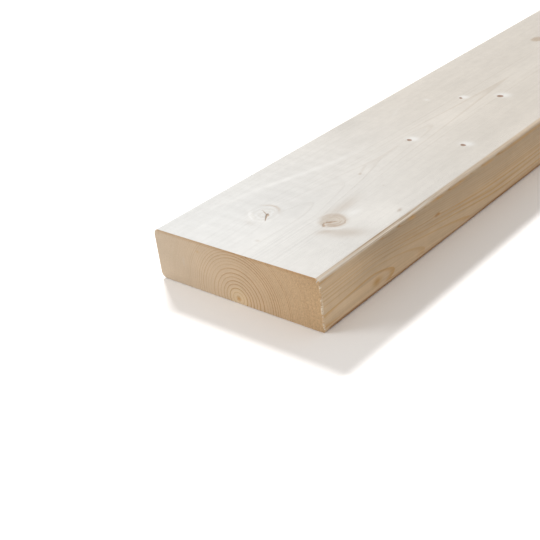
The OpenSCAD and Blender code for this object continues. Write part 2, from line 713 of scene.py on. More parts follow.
@dataclass(frozen=True)
class SpruceFinish:
    """Colours of planed and sawn spruce, as linear light.

    Attributes:
        early: Early wood on the narrow planed faces.
        late: Late wood there.
        sheen_early: Early wood on the wide upper face, greyed towards white as painted sheen.
        sheen_late: Late wood there, greyed the same way.
        sheen_white_colour: Whiter painted sheen on the upper face, strongest near the near end.
        bright: Pale streaks.
        stain: Brown stains.
        crack: Inside of a crack.
        foot_shade_tint: What the painted shade line along its foot does to the wood's colour.
        sound_tint: What a living branch does to the wood's colour.
        sound_line: What its rings do.
        brown_tint: What a dead branch does.
        brown_line: What its rings do.
        pin_tint: What a pin knot does.
        end_left: Sawn end towards the back edge, lighter, partly its own colour and partly painted light.
        end_right: Sawn end towards the front edge.
        end_late: What late wood does to the sawn end's colour.
        end_fresh: What the first wood of a year does.
        heart_tint: What the young wood round the pith does.
        pith: The core of the tree.
        rim_tint: What the darker line along the edges of the sawn end does to its colour.
        fibre: Torn fibres along a sawn edge.
        planed_relief: Depth of the grain on the planed faces, in metres.
        planed_gloss: Specular level there.
        sawn_relief: Depth of the grit on the sawn ends, in metres.
        sawn_gloss: Specular level there.
    """

    early: Colour = (0.54, 0.405, 0.26)
    late: Colour = (0.465, 0.27, 0.098)
    sheen_early: Colour = (0.464, 0.435, 0.393)
    sheen_late: Colour = (0.42, 0.38, 0.33)
    sheen_white_colour: Colour = (0.464, 0.466, 0.456)
    bright: Colour = (0.55, 0.546, 0.53)
    stain: Colour = (0.33, 0.28, 0.23)
    # crack: Inside of a crack, painted dark for the shade deep in it, and the dark veins of knots.
    crack: Colour = (0.25, 0.165, 0.10)
    foot_shade_tint: Colour = (0.57, 0.41, 0.26)
    sound_tint: Colour = (0.965, 0.955, 0.94)
    sound_line: Colour = (1.04, 1.045, 1.05)
    brown_tint: Colour = (0.80, 0.715, 0.625)
    brown_line: Colour = (0.76, 0.665, 0.57)
    pin_tint: Colour = (0.42, 0.26, 0.18)
    end_left: Colour = (0.552, 0.450, 0.340)
    end_right: Colour = (0.511, 0.349, 0.198)
    end_late: Colour = (0.72, 0.58, 0.43)
    end_fresh: Colour = (1.06, 1.06, 1.05)
    heart_tint: Colour = (1.08, 1.11, 1.08)
    pith: Colour = (0.47, 0.28, 0.12)
    rim_tint: Colour = (0.88, 0.78, 0.66)
    fibre: Colour = (0.74, 0.65, 0.51)
    planed_relief: float = 0.12 * MM
    planed_gloss: float = 0.35
    sawn_relief: float = 0.25 * MM
    sawn_gloss: float = 0.25

    def planed(self) -> bpy.types.Material:
        """Makes the finish of the four planed faces.

        Returns:
            The material.
        """
        sheet = NodeSheet("planed_spruce")
        rings = PLANED_RINGS.draw(sheet)
        place = rings["place"]
        pale = sheet.attribute("sheen_paleness")
        strength = sheet.step(rings["year"], 0.0, 1.0, 0.35, 1.0)
        strength = sheet.math("MULTIPLY", strength, sheet.attribute("ring_show"))
        late = sheet.math("MULTIPLY", rings["late"], strength)
        # The upper face's grey-white colour is painted sheen, whiter near the near end; the other faces keep
        # the tan wood colour.
        upper = sheet.mix(late, self.sheen_early, self.sheen_late)
        upper = sheet.mix(sheet.attribute("sheen_white"), upper, self.sheen_white_colour)
        colour = sheet.mix(pale, sheet.mix(late, self.early, self.late), upper)
        fibre = sheet.noise(place, (0.009, 0.65, 0.65), 3.0, 0.6)
        cloud = sheet.noise(place, (0.02, 0.045, 0.045), 3.0, 0.6)
        mottle = sheet.noise(place, (0.09, 0.16, 0.16), 2.0, 0.6)
        weave = sheet.noise(place, (0.42, 0.07, 0.07), 2.0, 0.6)
        amount = sheet.math("ADD", sheet.step(pale, 0.2, 1.0, 0.54, 0.17), sheet.attribute("furrow"))
        # The shade field is a factor that carries painted light and shade as well as patches of the wood's
        # tone.
        light = sheet.vary(sheet.attribute("shade"), fibre, amount)
        for noise, share in ((cloud, 0.14), (mottle, 0.14), (weave, 0.08)):
            light = sheet.vary(light, noise, share)
        hair = sheet.step(sheet.noise(place, (0.006, 0.8, 0.8), 1.0), 0.3, 0.7)
        light = sheet.vary(light, hair, sheet.attribute("streak"))
        colour = sheet.tinted(1.0, colour, light)
        tone = sheet.attribute("tone")
        colour = sheet.mix(sheet.step(tone, 0.0, 1.0), colour, sheet.mix(pale, self.fibre, self.bright))
        colour = sheet.mix(sheet.step(tone, 0.0, -1.0), colour, sheet.mix(pale, self.late, self.stain))
        # Painted shade: a dark line along the foot of the front edge.
        colour = sheet.tinted(sheet.attribute("foot"), colour, self.foot_shade_tint)
        colour = self.knots(sheet, colour, place)
        colour = sheet.mix(sheet.step(sheet.attribute("fray"), 0.0, 1.0), colour, self.fibre)
        # Painted shade inside the drying cracks; the same dark colour draws the knots' veins.
        colour = sheet.mix(sheet.attribute("crack"), colour, self.crack)
        height = sheet.math("MULTIPLY_ADD", late, 0.5, fibre)
        rough = sheet.math("MULTIPLY_ADD", fibre, 0.16, 0.48)
        return self.shade(sheet, colour, rough, height, self.planed_relief, self.planed_gloss)

    def knots(self, sheet: NodeSheet, colour: Socket, place: Socket) -> Socket:
        """Paints the knots over the planed wood.

        Args:
            sheet: Sheet to draw on.
            colour: Colour of the wood.
            place: Place in the tree.

        Returns:
            The colour with its knots.
        """
        dark = sheet.attribute("knot_dark")
        ripple = sheet.noise(place, (0.13, 0.13, 0.13), 3.0)
        edge = sheet.math("SUBTRACT", sheet.attribute("knot_reach"), 0.25)
        edge = sheet.math("MULTIPLY_ADD", ripple, 0.5, edge)
        curls = sheet.step(sheet.math("SINE", sheet.math("MULTIPLY", edge, 17.0)), 0.0, 0.95)
        sound = sheet.mix(curls, self.sound_tint, self.sound_line)
        brown = sheet.mix(curls, self.brown_tint, self.brown_line)
        tint = sheet.mix(sheet.step(dark, 0.1, 0.4), sound, brown)
        tint = sheet.mix(sheet.step(dark, 0.6, 0.9), tint, self.pin_tint)
        pin = sheet.step(edge, 1.15, 0.78)
        wide = sheet.step(edge, 1.3, 0.62)
        share = sheet.mix(sheet.step(dark, 0.6, 0.9), wide, pin)
        return sheet.tinted(share, colour, tint)

    def sawn(self) -> bpy.types.Material:
        """Makes the finish of the two sawn ends.

        Returns:
            The material.
        """
        sheet = NodeSheet("sawn_spruce_end")
        rings = SAWN_RINGS.draw(sheet)
        place = rings["place"]
        warmth = sheet.attribute("warmth")
        strength = sheet.step(rings["year"], 0.0, 1.0, 0.3, 0.95)
        strength = sheet.math("MULTIPLY", strength, sheet.step(rings["radius"], 18.0, 74.0, 1.05, 0.52))
        strength = sheet.math("MULTIPLY", strength, sheet.step(warmth, 0.4, 0.6, 0.74, 1.45))
        late = sheet.math("MULTIPLY", rings["late"], strength)
        # The sawn end is lighter and greyer towards the back edge: partly the wood's own colour, partly
        # painted light from the soft panel on that side.
        colour = sheet.mix(warmth, self.end_left, self.end_right)
        colour = sheet.tinted(sheet.step(rings["radius"], 13.0, 6.0), colour, self.heart_tint)
        fresh = sheet.math("MULTIPLY", sheet.step(rings["phase"], 0.32, 0.08), strength)
        colour = sheet.tinted(fresh, colour, self.end_fresh)
        colour = sheet.tinted(late, colour, self.end_late)
        colour = sheet.mix(sheet.step(rings["radius"], 2.8, 0.4), colour, self.pith)
        grit = sheet.noise(place, (0.9, 0.9, 0.9), 3.0, 0.7)
        pores = sheet.noise(place, (0.55, 0.55, 0.55), 3.0, 0.75)
        cloud = sheet.noise(place, (0.04, 0.04, 0.04), 2.0)
        # The shade field carries painted light and shade on the sawn end.
        light = sheet.vary(sheet.attribute("shade"), grit, 0.27)
        light = sheet.vary(light, pores, sheet.step(warmth, 0.55, 1.0, 0.15, 1.0))
        light = sheet.vary(light, cloud, 0.20)
        colour = sheet.tinted(1.0, colour, light)
        colour = sheet.tinted(sheet.attribute("rim"), colour, self.rim_tint)
        tone = sheet.attribute("tone")
        colour = sheet.mix(sheet.step(tone, 0.0, 1.0), colour, self.bright)
        colour = sheet.mix(sheet.step(tone, 0.0, -1.0), colour, self.late)
        colour = sheet.mix(sheet.step(sheet.attribute("fray"), 0.0, 1.0), colour, self.fibre)
        height = sheet.math("MULTIPLY_ADD", late, 0.6, grit)
        rough = sheet.math("MULTIPLY_ADD", grit, 0.15, 0.75)
        return self.shade(sheet, colour, rough, height, self.sawn_relief, self.sawn_gloss)

    def shade(self, sheet: NodeSheet, colour: Socket, rough: Socket, height: Socket, depth: float,
              gloss: float) -> bpy.types.Material:
        """Ends a sheet with its fine relief and the surface shader.

        Args:
            sheet: Sheet to end.
            colour: Base colour.
            rough: Roughness.
            height: Fine relief, about 0 to 1.
            depth: Depth of that relief, in metres.
            gloss: Specular level.

        Returns:
            The finished material.
        """
        bump = sheet.node("ShaderNodeBump")
        bump.inputs["Strength"].default_value = 1.0
        bump.inputs["Distance"].default_value = depth
        sheet.feed(bump.inputs["Height"], height)
        return sheet.surface(colour, rough, gloss, bump.outputs[0])


@dataclass(frozen=True)
class CutterLedge:
    """The ledge and the two shallow grooves that the cutter left on the upper front edge.

    Angles are in degrees round that edge from the upper face, and offsets are angles from the ledge.

    Attributes:
        middle: Angle of the ledge.
        waver: How far it wavers.
        waver_run: Distance over which the waver turns by one radian.
        drop: How far the ledge drops further on.
        drop_span: Distances along which it drops.
        faint: How marked the ledge is far from the near end, where 1 is fully.
        faint_span: Distances along which it becomes fully marked, from the far side.
        upper_start: Angles over which the upper groove comes in.
        upper_end: Offsets over which it ends.
        upper_depth: Its depth.
        upper_least: Share of that depth where the ledge isn't marked.
        lower_start: Offsets over which the lower groove comes in.
        lower_end: Offsets over which it ends.
        lower_depth: Its depth.
        lower_near: Distances along which it comes in, from the near side.
        lower_far: Distances along which it comes in, from the far side.
    """

    middle: float = 41.0
    waver: float = 2.0
    waver_run: float = 33.0
    drop: float = 4.0
    drop_span: Span = (90.0, 125.0)
    faint: float = 0.35
    faint_span: Span = (200.0, 110.0)
    upper_start: Span = (9.0, 24.0)
    upper_end: Span = (3.5, -3.5)
    upper_depth: float = 0.27
    upper_least: float = 0.4
    lower_start: Span = (6.0, 11.0)
    lower_end: Span = (24.0, 18.0)
    lower_depth: float = 0.16
    lower_near: Span = (40.0, 80.0)
    lower_far: Span = (280.0, 200.0)

    def push(self, along: Array, turn: Array) -> Array:
        """Works out the relief of the edge.

        Args:
            along: Distances from the near end.
            turn: Angles round the edge.

        Returns:
            How far each place moves outwards.
        """
        middle = self.middle + self.waver * np.sin(along / self.waver_run)
        offset = turn - (middle + self.drop * smooth_step(*self.drop_span, along))
        marked = self.faint + (1 - self.faint) * smooth_step(*self.faint_span, along)
        strength = self.upper_least + (1 - self.upper_least) * marked
        upper = smooth_step(*self.upper_start, turn) * smooth_step(*self.upper_end, offset)
        stretch = smooth_step(*self.lower_near, along) * smooth_step(*self.lower_far, along)
        lower = smooth_step(*self.lower_start, offset) * smooth_step(*self.lower_end, offset) * stretch
        return -self.upper_depth * upper * strength - self.lower_depth * lower


@dataclass
class SprucePlank:
    """The plank: its section, its mesh and the fields of grain that its finishes read.

    Attributes:
        low: Lowest corner of its box, in metres.
        high: Highest corner of its box, in metres.
        trunk: The tree that it came from.
        ledge: What the cutter left on its upper front edge.
        edge_radius: Round on its long edges.
        rim: Wear on the edges of its sawn ends.
        fine_length: Stretch from the near end that has the finest mesh.
        fine_step: Cell of that mesh.
        coarse_step: Cell of the mesh beyond it.
        flat_points: Points along half the underside, the front edge, the upper face and the back edge.
        round_chords: Chords of the four rounds, in the order that the section is drawn in.
        cap_pitch: Cell of the mesh on the sawn ends.
        splits: How often the faces round knots, cracks and thin marks are split.
        straight: Corner of a face that counts as straight, in degrees.
        fray_length: Stretch from the near end where the front edge is frayed.
        foot_power: How square the lower front edge is, where 2 is a true round.
        foot_height: Height of the painted shade line along the foot.
        foot_waver: How far that height wavers.
        wave_depth: Depth of the planer's waves.
        wave_length: Length of one wave.
        dimple_depth: Depth of the hollow at a pin knot.
        burr_out: How far the torn fibres stand out of the near end.
        burr_side: How far they stand out of the front edge.
        saw_depth: Depth of the saw's marks on the ends.
        crease: Angle between two faces that shows as a sharp edge, in degrees.
    """

    low: Vector
    high: Vector
    trunk: Trunk
    ledge: CutterLedge = CutterLedge()
    edge_radius: float = 5.0
    rim: float = 0.5
    fine_length: float = 420.0
    fine_step: float = 2.5
    coarse_step: float = 12.5
    flat_points: tuple[int, int, int, int] = (17, 15, 65, 13)
    round_chords: tuple[int, int, int, int] = (12, 36, 10, 8)
    cap_pitch: float = 2.0
    splits: int = 3
    straight: float = 170.0
    fray_length: float = 3.5
    foot_power: float = 5.0
    foot_height: float = 2.8
    foot_waver: float = 0.3
    wave_depth: float = 0.075
    wave_length: float = 14.5
    dimple_depth: float = 0.25
    burr_out: float = 0.7
    burr_side: float = 0.25
    saw_depth: float = 0.06
    crease: float = 35.0

    @property
    def length(self) -> float:
        """Length along X."""
        return (self.high.x - self.low.x) / MM

    @property
    def width(self) -> float:
        """Width along Y."""
        return (self.high.y - self.low.y) / MM

    @property
    def thickness(self) -> float:
        """Thickness along Z."""
        return (self.high.z - self.low.z) / MM

    def outline(self) -> Array:
        """Draws the section, from the middle of the underside round by the front edge.

        Returns:
            Y and Z of each point, one per row.
        """
        half = self.width / 2
        flat_y = half - self.edge_radius
        low_z, high_z = self.edge_radius, self.thickness - self.edge_radius
        under, front, top, back = self.flat_points
        low_front, high_front, high_back, low_back = self.round_chords
        loop = np.concatenate([
            np.linspace((0, 0), (-flat_y, 0), under),
            self.corner(-flat_y, low_z, -90, low_front),
            np.linspace((-half, low_z), (-half, high_z), front),
            self.corner(-flat_y, high_z, -180, high_front),
            np.linspace((-flat_y, self.thickness), (flat_y, self.thickness), top),
            self.corner(flat_y, high_z, 90, high_back),
            np.linspace((half, high_z), (half, low_z), back),
            self.corner(flat_y, low_z, 0, low_back),
            np.linspace((flat_y, 0), (0, 0), under),
        ])
        keep = np.linalg.norm(loop - np.roll(loop, 1, axis=0), axis=1) > SAME_POINT
        return loop[keep]

    def corner(self, y: float, z: float, start: float, steps: int) -> Array:
        """Draws the round of one long edge about (y, z), clockwise from its start angle in degrees."""
        turn = np.radians(start - np.linspace(0, 90, steps + 1))
        return np.stack([y + self.edge_radius * np.cos(turn), z + self.edge_radius * np.sin(turn)], axis=1)

    def stations(self) -> Array:
        """Gives the places along the length where the section is repeated.

        Returns:
            Distances from the near end.
        """
        half = self.length / 2
        near = np.arange(self.rim, self.fine_length, self.fine_step)
        middle = np.linspace(self.fine_length, half, round((half - self.fine_length) / self.coarse_step) + 1)
        far = np.linspace(half, self.length - self.rim, round(half / self.coarse_step) + 1)[1:]
        return np.concatenate([[0.0], near, middle, far, [self.length]])

    def shell(self) -> bmesh.types.BMesh:
        """Builds the closed mesh of the plank, before its relief.

        Returns:
            The mesh, in millimetres.
        """
        mesh = bmesh.new()
        outline = self.outline()
        worn = outline - self.rim * np.sign(outline - np.array([0.0, self.thickness / 2]))
        worn[np.abs(outline[:, 0]) < TINY, 0] = 0.0
        stations = self.stations()
        last = len(stations) - 1
        rows = []
        for index, along in enumerate(stations):
            ring = worn if index in (0, last) else outline
            rows.append([mesh.verts.new((along, y, z)) for y, z in ring])
        count = len(outline)
        for index, (row, after) in enumerate(zip(rows[:-1], rows[1:])):
            for i in range(count):
                j = (i + 1) % count
                face = mesh.faces.new((row[i], after[i], after[j], row[j]))
                face.material_index = int(index in (0, last - 1))
        self.cap(mesh, rows[0])
        self.cap(mesh, rows[-1])
        self.refine(mesh)
        bmesh.ops.recalc_face_normals(mesh, faces=mesh.faces[:])
        return mesh

    def cap(self, mesh: bmesh.types.BMesh, ring: list[bmesh.types.BMVert]) -> None:
        """Closes one end with a fine field of triangles.

        Args:
            mesh: Mesh to close.
            ring: The end's rim.
        """
        pitch = self.cap_pitch
        along = ring[0].co.x
        inner_y = self.width / 2 - pitch
        inner_z = self.thickness - pitch
        field = []
        for y in np.arange(-inner_y, inner_y, pitch):
            for z in np.arange(pitch, inner_z, pitch):
                beside = abs(y) < inner_y - self.edge_radius
                if beside or self.edge_radius < z < self.thickness - self.edge_radius:
                    field.append(Vector((y, z)))
        rim = [Vector((v.co.y, v.co.z)) for v in ring]
        count = len(rim)
        edges = [(i, (i + 1) % count) for i in range(count)]
        inside_only = 1
        merge_gap = 1e-5
        spots, _, faces, sources, _, _ = delaunay_2d_cdt(rim + field, edges, [], inside_only, merge_gap)
        verts = []
        for spot, source in zip(spots, sources):
            on_rim = [i for i in source if i < count]
            verts.append(ring[on_rim[0]] if on_rim else mesh.verts.new((along, spot.x, spot.y)))
        for face in faces:
            mesh.faces.new([verts[i] for i in face]).material_index = 1

    def refine(self, mesh: bmesh.types.BMesh) -> None:
        """Splits the faces round knots, cracks, thin marks and the frayed edge, over and over.

        Args:
            mesh: Mesh to refine.
        """
        for level in range(self.splits):
            faces = [face for face in mesh.faces if len(face.verts) == 4 or level > 0]
            centres = np.array([face.calc_center_median() for face in faces])
            wanted = self.wanted(centres, level)
            edges = {edge for face, take in zip(faces, wanted) if take for edge in face.edges}
            bmesh.ops.subdivide_edges(mesh, edges=list(edges), cuts=1, use_grid_fill=True)
        straight = math.radians(self.straight)
        uneven = [face for face in mesh.faces if max(loop.calc_angle() for loop in face.loops) > straight]
        bmesh.ops.triangulate(mesh, faces=uneven, quad_method="BEAUTY", ngon_method="BEAUTY")

    def wanted(self, centres: Array, level: int) -> Array:
        """Picks the faces that are split.

        Args:
            centres: Middles of the faces, one per row.
            level: How many times they have been split.

        Returns:
            True for each face to split.
        """
        picked = np.zeros(len(centres), dtype=bool)
        room = self.fine_step / 2 ** level
        last = self.splits - 1
        knot_border = 1.3
        thin = 0.8 * room
        fray_y = 4 - self.width / 2
        for knot in KNOTS:
            if level == last and knot.kind is not KnotKind.PIN:
                continue
            depth, spots = self.on_face(knot.face, centres)
            gap = np.abs(spots - np.array([knot.along, knot.across]))
            reach = knot.radius * knot_border + room
            near = (gap[:, 0] < reach * max(knot.stretch, 1.0)) & (gap[:, 1] < reach)
            picked |= (depth < CRACK_SKIN) & near
        depth, spots = self.on_face(Face.TOP, centres)
        for check in CHECKS:
            gap, _ = line_distance(spots, check.points)
            picked |= (depth < CRACK_SKIN) & (gap < check.width + room)
        for stroke in STROKES:
            if stroke.width < thin and level < last and stroke.face is not Face.ROUND:
                depth, spots = self.on_face(stroke.face, centres)
                gap, _ = line_distance(spots, stroke.points)
                picked |= (depth < CRACK_SKIN) & (gap < stroke.width + room)
        frayed = (centres[:, 0] < self.fray_length) & (centres[:, 0] > TOUCH) & (centres[:, 1] < fray_y)
        return picked | (frayed & (level < last))

    def on_face(self, face: Face, points: Array) -> tuple[Array, Array]:
        """Measures places against a face.

        Args:
            face: The face.
            points: Places, one per row.

        Returns:
            Depth below the face, and the distances along and across it. On the end they are Y and Z.
            On the round, the second is the way round it from the upper face.
        """
        x, y, z = points.T
        if face is Face.ROUND:
            turn = self.round_turn(points)
            depth = np.where((turn > 0) & (turn < 90), 0.0, self.width)
            return depth, np.stack([x, np.radians(turn) * self.edge_radius], axis=1)
        if face is Face.END:
            return x, np.stack([y, z], axis=1)
        depth, across = {
            Face.TOP: (self.thickness - z, y),
            Face.UNDERSIDE: (z, y),
            Face.FRONT: (y + self.width / 2, z),
            Face.BACK: (self.width / 2 - y, z),
        }[face]
        return np.abs(depth), np.stack([x, across], axis=1)

    def fields(self, points: Array) -> dict[str, Array]:
        """Works out the fields of grain that the finishes read.

        Args:
            points: Places, one per row.

        Returns:
            One array for each field's name.
        """
        reach, dark, swell = self.knot_fields(points)
        crack, _ = self.check_fields(points)
        depth, spots = self.on_face(Face.TOP, points)
        bulge = sum(bend.at(spots) for bend in RING_BENDS) * smooth_step(20, 0, depth)
        turn = self.round_turn(points)
        return {
            "tree_place": self.trunk.place(points),
            "ring_lift": self.trunk.lift(points) - swell - bulge,
            "ring_show": 1.0 - 0.8 * smooth_step(70, 20, turn) * (turn > 0),
            "knot_reach": reach,
            "knot_dark": dark,
            "crack": crack,
            "tone": self.tone_field(points),
            "shade": self.shade_field(points),
            "foot": self.foot_shade_field(points),
            "furrow": 0.4 * smooth_step(12, 20, turn) * smooth_step(85, 60, turn),
            "streak": STREAKS.at(spots),
            "sheen_paleness": self.sheen_pale_field(points),
            "sheen_white": self.sheen_white_field(points),
            "warmth": 0.5 - points[:, 1] / self.width,
            "rim": self.rim_field(points),
            "fray": self.fray_field(points),
        }

    def knot_fields(self, points: Array) -> tuple[Array, Array, Array]:
        """Works out how near each place is to a knot.

        Args:
            points: Places, one per row.

        Returns:
            Distance in knot radii, darkness of the nearest knot, and how far it bends the rings.
        """
        far_off = 9.0
        reach = np.full(len(points), far_off)
        dark = np.zeros(len(points))
        swell = np.zeros(len(points))
        for knot in KNOTS:
            depth, spots = self.on_face(knot.face, points)
            lean = math.radians(knot.turn)
            gap_x, gap_y = (spots - np.array([knot.along, knot.across])).T
            grain_x = gap_x * math.cos(lean) - gap_y * math.sin(lean)
            grain_y = gap_x * math.sin(lean) + gap_y * math.cos(lean)
            near = np.hypot(grain_x / knot.stretch, grain_y) / knot.radius
            near = near + np.maximum(depth - CRACK_SKIN, 0.0) / 2.0
            swell = swell + knot.swell * np.exp(-((near / 1.7) ** 2))
            dark = np.where(near < reach, knot.kind.value, dark)
            reach = np.minimum(reach, near)
        return reach, dark, swell

    def check_fields(self, points: Array) -> tuple[Array, Array]:
        """Works out where the drying cracks are open.

        Args:
            points: Places, one per row.

        Returns:
            How dark the crack is, from 0 to 1, and its depth.
        """
        crack = np.zeros(len(points))
        sink = np.zeros(len(points))
        depth, spots = self.on_face(Face.TOP, points)
        for check in CHECKS:
            gap, share = line_distance(spots, check.points)
            width = check.width * (1.0 - 0.75 * share)
            opened = smooth_step(1.6, 0.5, gap / width) * (depth < CRACK_SKIN)
            crack = np.maximum(crack, check.dark * opened)
            sink = np.maximum(sink, check.depth * opened * (1.0 - 0.6 * share))
        return crack, sink

    def tone_field(self, points: Array) -> Array:
        """Works out the pale and dark marks.

        Args:
            points: Places, one per row.

        Returns:
            Lighter above 0 and darker below, from -1 to 1.
        """
        tone = np.zeros(len(points))
        for stroke in STROKES:
            depth, spots = self.on_face(stroke.face, points)
            gap, share = line_distance(spots, stroke.points)
            swept = 0.45 + 0.55 * np.sin(np.pi * share)
            tone = tone + stroke.tone * swept * np.exp(-((gap / stroke.width) ** 2)) * (depth < MARK_SKIN)
        for knot in KNOTS:
            if knot.kind is KnotKind.PIN:
                depth, spots = self.on_face(knot.face, points)
                centre = np.array([knot.along, knot.across]) + np.array(PIN_HALO_SHIFT)
                gap_x, gap_y = (spots - centre).T
                gap = np.hypot(gap_x, PIN_HALO_SHAPE * gap_y) / (PIN_HALO_RADII * knot.radius)
                tone = tone + PIN_HALO_TONE * np.exp(-(gap ** 2)) * (depth < MARK_SKIN)
        return np.clip(tone, -1.0, 1.0)

    def shade_field(self, points: Array) -> Array:
        """Works out the broad light and dark of the wood: patches on the upper face, and painted light and
        shade on the back edge, the front edge and its upper round, and the sawn end.

        Args:
            points: Places, one per row.

        Returns:
            A factor on the wood's colour.
        """
        along, y, _ = points.T
        depth, spots = self.on_face(Face.TOP, points)
        shade = sum(patch.at(spots) for patch in SHADES)
        shade = shade - 0.04 * smooth_step(-10, 35, y) + 0.035 * smooth_step(-55, -75, y)
        shade = 1.0 + shade * (depth < SHADE_SKIN)
        # Painted shade: the back edge, which the key lamp lights full on, is darkened to sit with the upper
        # face.
        back = 1.0 - 0.14 * smooth_step(81, 84.5, y) * smooth_step(TOUCH, 1.0, along)
        planed = back * shade * self.round_painted_light(points) * self.front_shade(points)
        return np.where(along < TOUCH, self.end_shade(points), planed)

    def front_shade(self, points: Array) -> Array:
        """Works out the painted light and shade of the front edge, which dims away from the near end and
        upwards.

        Args:
            points: Places, one per row.

        Returns:
            A factor on the wood's colour, 1 off that edge.
        """
        along, _, z = points.T
        depth, _ = self.on_face(Face.FRONT, points)
        beyond = smooth_step(20, 90, along)
        height = (np.clip(z, 6, 38) - 22) / 14
        front = 1.04 - 0.15 * beyond - (0.08 + 0.08 * beyond) * height
        front = front - 0.06 * np.exp(-(((along - 70) / 45) ** 2)) * smooth_step(14, 28, z)
        on_front = smooth_step(self.edge_radius, 0.0, depth) * smooth_step(40, 75, self.round_turn(points))
        return 1.0 + (front - 1.0) * on_front

    def end_shade(self, points: Array) -> Array:
        """Works out the painted light and shade of the sawn end, which darkens upwards and towards the back
        edge and is brightest low in its middle.

        Args:
            points: Places, one per row.

        Returns:
            A factor on the wood's colour.
        """
        _, y, z = points.T
        middle = 0.05 * np.exp(-((y / 40) ** 2)) + 0.045 * np.exp(-((y / 65) ** 2)) * smooth_step(16, 6, z)
        return 1.0 - 0.04 * (z - 22) / 14 - 0.03 * smooth_step(40, 80, y) + middle

    def round_painted_light(self, points: Array) -> Array:
        """Works out the painted light on the round of the upper front edge, brightest over its middle and
        near the near end.

        Args:
            points: Places, one per row.

        Returns:
            A factor on the wood's colour, 1 off that edge.
        """
        turn = self.round_turn(points)
        worn = 0.12 * smooth_step(1, 10, turn) + 0.10 * smooth_step(16, 24, turn)
        worn = worn + 0.08 * smooth_step(50, 10, points[:, 0])
        return 1.0 + worn * smooth_step(68, 52, turn) * (turn > 0)

    def foot_shade_field(self, points: Array) -> Array:
        """Works out the painted shade line along the foot of the front edge, where its lower round turns
        away from the light.

        Args:
            points: Places, one per row.

        Returns:
            How much of that line shows, from 0 to 1.
        """
        along, _, z = points.T
        depth, _ = self.on_face(Face.FRONT, points)
        height = self.foot_height + self.foot_waver * np.sin(along / 23) * np.sin(along / 57 + 1)
        low = smooth_step(1.15, 0.85, z / height) * smooth_step(9, 5, depth)
        return low * smooth_step(2, 9, along) * smooth_step(0.2, 0.7, z)

    def round_turn(self, points: Array) -> Array:
        """Gives how far round the upper front edge places lie.

        Args:
            points: Places, one per row.

        Returns:
            The angle from the upper face, in degrees, 0 on that face and 90 on the front edge.
        """
        centre_y = -self.width / 2 + self.edge_radius
        centre_z = self.thickness - self.edge_radius
        turn = np.degrees(np.arctan2(centre_y - points[:, 1], points[:, 2] - centre_z))
        turn = np.where(points[:, 1] >= centre_y, 0.0, turn)
        return np.where(points[:, 2] <= centre_z, 90.0, turn)

    def sheen_pale_field(self, points: Array) -> Array:
        """Works out where the wood has the upper face's grey-white colour of painted sheen.

        Args:
            points: Places, one per row.

        Returns:
            1 on the upper face, 0 on the others.
        """
        turn = self.round_turn(points)
        front = 1.0 - 0.48 * smooth_step(2, 20, turn) - 0.52 * smooth_step(48, 70, turn)
        front = np.maximum(front, 0.5 * smooth_step(-78, -50, points[:, 1]))
        back = 0.5 + 0.5 * smooth_step(self.thickness - self.edge_radius, self.thickness - 0.5, points[:, 2])
        return np.where(points[:, 1] < 0, front, back)

    def sheen_white_field(self, points: Array) -> Array:
        """Works out the share of whiter painted sheen on the upper face, most near the near end and towards
        the back edge.
        """
        across = 0.7 + 0.3 * smooth_step(-70, 60, points[:, 1])
        return smooth_step(360, 0, points[:, 0]) * across

    def rim_field(self, points: Array) -> Array:
        """Works out the darker line along an end's edges, as 1 on those edges."""
        inside = np.minimum(self.width / 2 - points[:, 1], self.thickness - points[:, 2])
        return smooth_step(1.0, 0.3, inside)

    def fray_field(self, points: Array) -> Array:
        """Works out where the saw has torn pale fibres out of the near end's front edge.

        Args:
            points: Places, one per row.

        Returns:
            The torn share, from 0 to 1.
        """
        along, _, z = points.T
        noise = SmoothNoise(seed=11, wavelength=(4.0, 5.0, 2.2), waves=40).at(points)
        flake = np.full(len(points), 0.3)
        for middle, half, gain in FLAKES:
            flake = flake + gain * np.exp(-(((z - middle) / half) ** 2))
        depth, _ = self.on_face(Face.FRONT, points)
        edge = smooth_step(1.8, 0.5, along) * smooth_step(1.2, 0.5, depth)
        return np.clip(flake * (0.55 + 0.55 * noise), 0.0, 1.0) * edge

    def relief(self, points: Array, fields: dict[str, Array]) -> Array:
        """Moves the mesh for its cracks, knots, planer waves, cutter marks and worn edges.

        Args:
            points: Places, one per row.
            fields: The fields at those places.

        Returns:
            The moved places.
        """
        moved = points.copy()
        along, y, z = points.T
        on_top = np.abs(z - self.thickness) < 0.1
        _, sink = self.check_fields(points)
        dimple = self.dimple_depth * fields["knot_dark"] * np.clip(1.0 - fields["knot_reach"], 0.0, 1.0)
        planed = smooth_step(0, 12, y) * smooth_step(230, 180, along) * smooth_step(80, 76, y)
        waves = self.wave_depth * np.sin(2 * np.pi * along / self.wave_length) * planed
        moved[:, 2] -= np.where(on_top, sink + dimple + waves, 0.0)
        turn = self.round_turn(points)
        push = self.ledge.push(along, turn) * ((turn > 0) & (turn < 90))
        moved[:, 1] -= push * np.sin(np.radians(turn))
        moved[:, 2] += push * np.cos(np.radians(turn))
        moved = self.square_foot(moved)
        burr = fields["fray"] * smooth_step(1.2, 0.0, along)
        moved[:, 0] -= self.burr_out * burr
        moved[:, 1] -= self.burr_side * burr
        rough = SmoothNoise(seed=5, wavelength=(9.0, 9.0, 5.0), waves=30).at(points)
        inside = 1.0 - fields["rim"]
        on_end = (along < TOUCH) | (along > self.length - TOUCH)
        moved[:, 0] += self.saw_depth * rough * inside * on_end
        return moved

